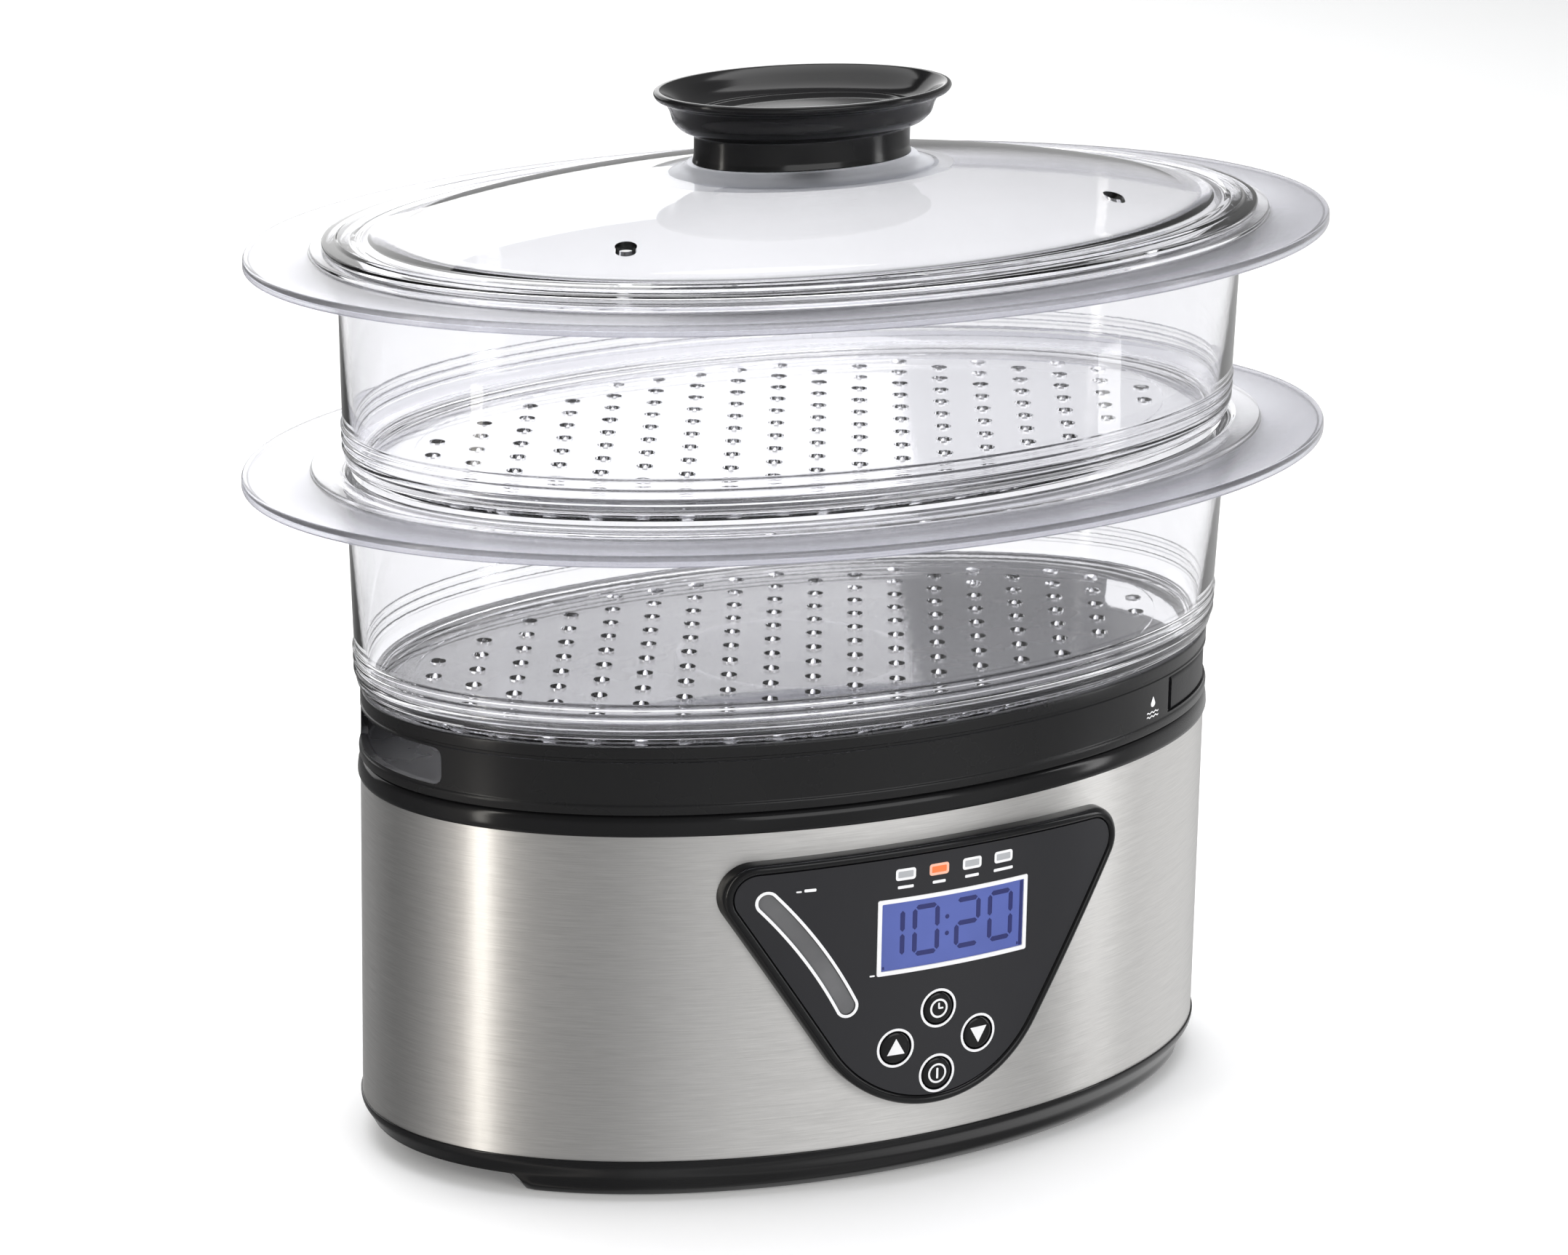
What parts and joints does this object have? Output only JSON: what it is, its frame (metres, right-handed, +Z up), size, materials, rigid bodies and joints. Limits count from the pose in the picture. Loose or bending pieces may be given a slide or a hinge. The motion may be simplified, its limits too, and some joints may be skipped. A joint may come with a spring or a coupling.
{
  "type": "two-tier oval food steamer",
  "caption": "Two-tier oval countertop steamer: brushed-steel base with timer panel, drip tray, two stacking clear bowls with wide carrying flanges, clear domed lid and dish knob.",
  "frame": {"origin": "on the floor under the middle of the base", "axes": "+X along the length, front panel faces -Y, +Z up"},
  "size_m": [0.35, 0.235, 0.3151],
  "materials": {
    "black_gloss": "polished black moulding",
    "black_satin": "satin black moulding",
    "fascia_grey": "smooth dark grey overlay",
    "clear_plastic": "clear moulded plastic",
    "steel": "fine horizontal brushing",
    "zinc_screw": "plated",
    "cast_alloy": "as cast",
    "element_steel": "heat-tinted sheath",
    "silicone": "soft silicone",
    "dark_rubber": "soft rubber",
    "board_green": "solder-masked board",
    "component": "moulded component case",
    "white_frame": "white moulding",
    "display": "backlit blue display window",
    "light_clear": "frosted light pipe",
    "light_lit": "lit amber light pipe",
    "bakelite": "heat-resistant moulding",
    "ceramic_fuse": "ceramic sleeve",
    "lead_insulation": "silicone sleeving"
  },
  "bodies": {
    "base": {"bottom_cover": "black_satin", "rubber_feet": "dark_rubber", "cover_screws": "zinc_screw", "base_housing": "black_gloss", "steel_skin": "steel", "cord_gland": "dark_rubber", "water_tub": "black_satin", "steam_ring": "black_satin", "heater_gasket": "silicone", "heater_plate": "steel", "heater_body": "cast_alloy", "heating_element": "element_steel", "heater_clamp": "zinc_screw", "heater_screws": "zinc_screw", "thermostat": "bakelite", "thermal_fuse": "ceramic_fuse", "heater_leads": "lead_insulation", "power_board": "board_green", "power_relay": "component", "power_transformer": "component", "terminal_block": "component", "power_board_screws": "zinc_screw", "panel_housing": "black_gloss", "panel_fascia": "fascia_grey", "lcd_frame": "white_frame", "lcd_lens": "display", "lcd_module": "component", "status_lights": "light_clear", "cook_light": "light_lit", "level_window": "clear_plastic", "level_chamber": "clear_plastic", "level_hose": "silicone", "control_board": "board_green", "tact_switches": "component", "control_board_screws": "zinc_screw"},
    "drip_tray": {"drip_tray": "black_gloss", "fill_spout": "black_satin"},
    "lower_bowl": {"lower_bowl": "clear_plastic"},
    "upper_bowl": {"upper_bowl": "clear_plastic"},
    "lid": {"lid": "clear_plastic", "knob_seal": "dark_rubber", "knob_screw": "zinc_screw", "lid_knob": "black_gloss"},
    "delay_button": {"delay_button": "black_gloss"},
    "up_button": {"up_button": "black_gloss"},
    "down_button": {"down_button": "black_gloss"},
    "power_button": {"power_button": "black_gloss"}
  },
  "joints": [
    {"name": "drip_tray_lift", "type": "slide", "parent": "base", "child": "drip_tray", "axis": [0, 0, 1], "range_m": [0, 0.06]},
    {"name": "lower_bowl_lift", "type": "slide", "parent": "drip_tray", "child": "lower_bowl", "axis": [0, 0, 1], "range_m": [0, 0.08]},
    {"name": "upper_bowl_lift", "type": "slide", "parent": "lower_bowl", "child": "upper_bowl", "axis": [0, 0, 1], "range_m": [0, 0.08]},
    {"name": "lid_lift", "type": "slide", "parent": "upper_bowl", "child": "lid", "axis": [0, 0, 1], "range_m": [0, 0.1]},
    {"name": "delay_press", "type": "slide", "parent": "base", "child": "delay_button", "axis": [0, 1, 0], "range_m": [0, 0.001], "stiffness_N_per_m": 500, "springref_m": -0.0005},
    {"name": "up_press", "type": "slide", "parent": "base", "child": "up_button", "axis": [0, 1, 0], "range_m": [0, 0.001], "stiffness_N_per_m": 500, "springref_m": -0.0005},
    {"name": "down_press", "type": "slide", "parent": "base", "child": "down_button", "axis": [0, 1, 0], "range_m": [0, 0.001], "stiffness_N_per_m": 500, "springref_m": -0.0005},
    {"name": "power_press", "type": "slide", "parent": "base", "child": "power_button", "axis": [0, 1, 0], "range_m": [0, 0.001], "stiffness_N_per_m": 500, "springref_m": -0.0005}
  ]
}
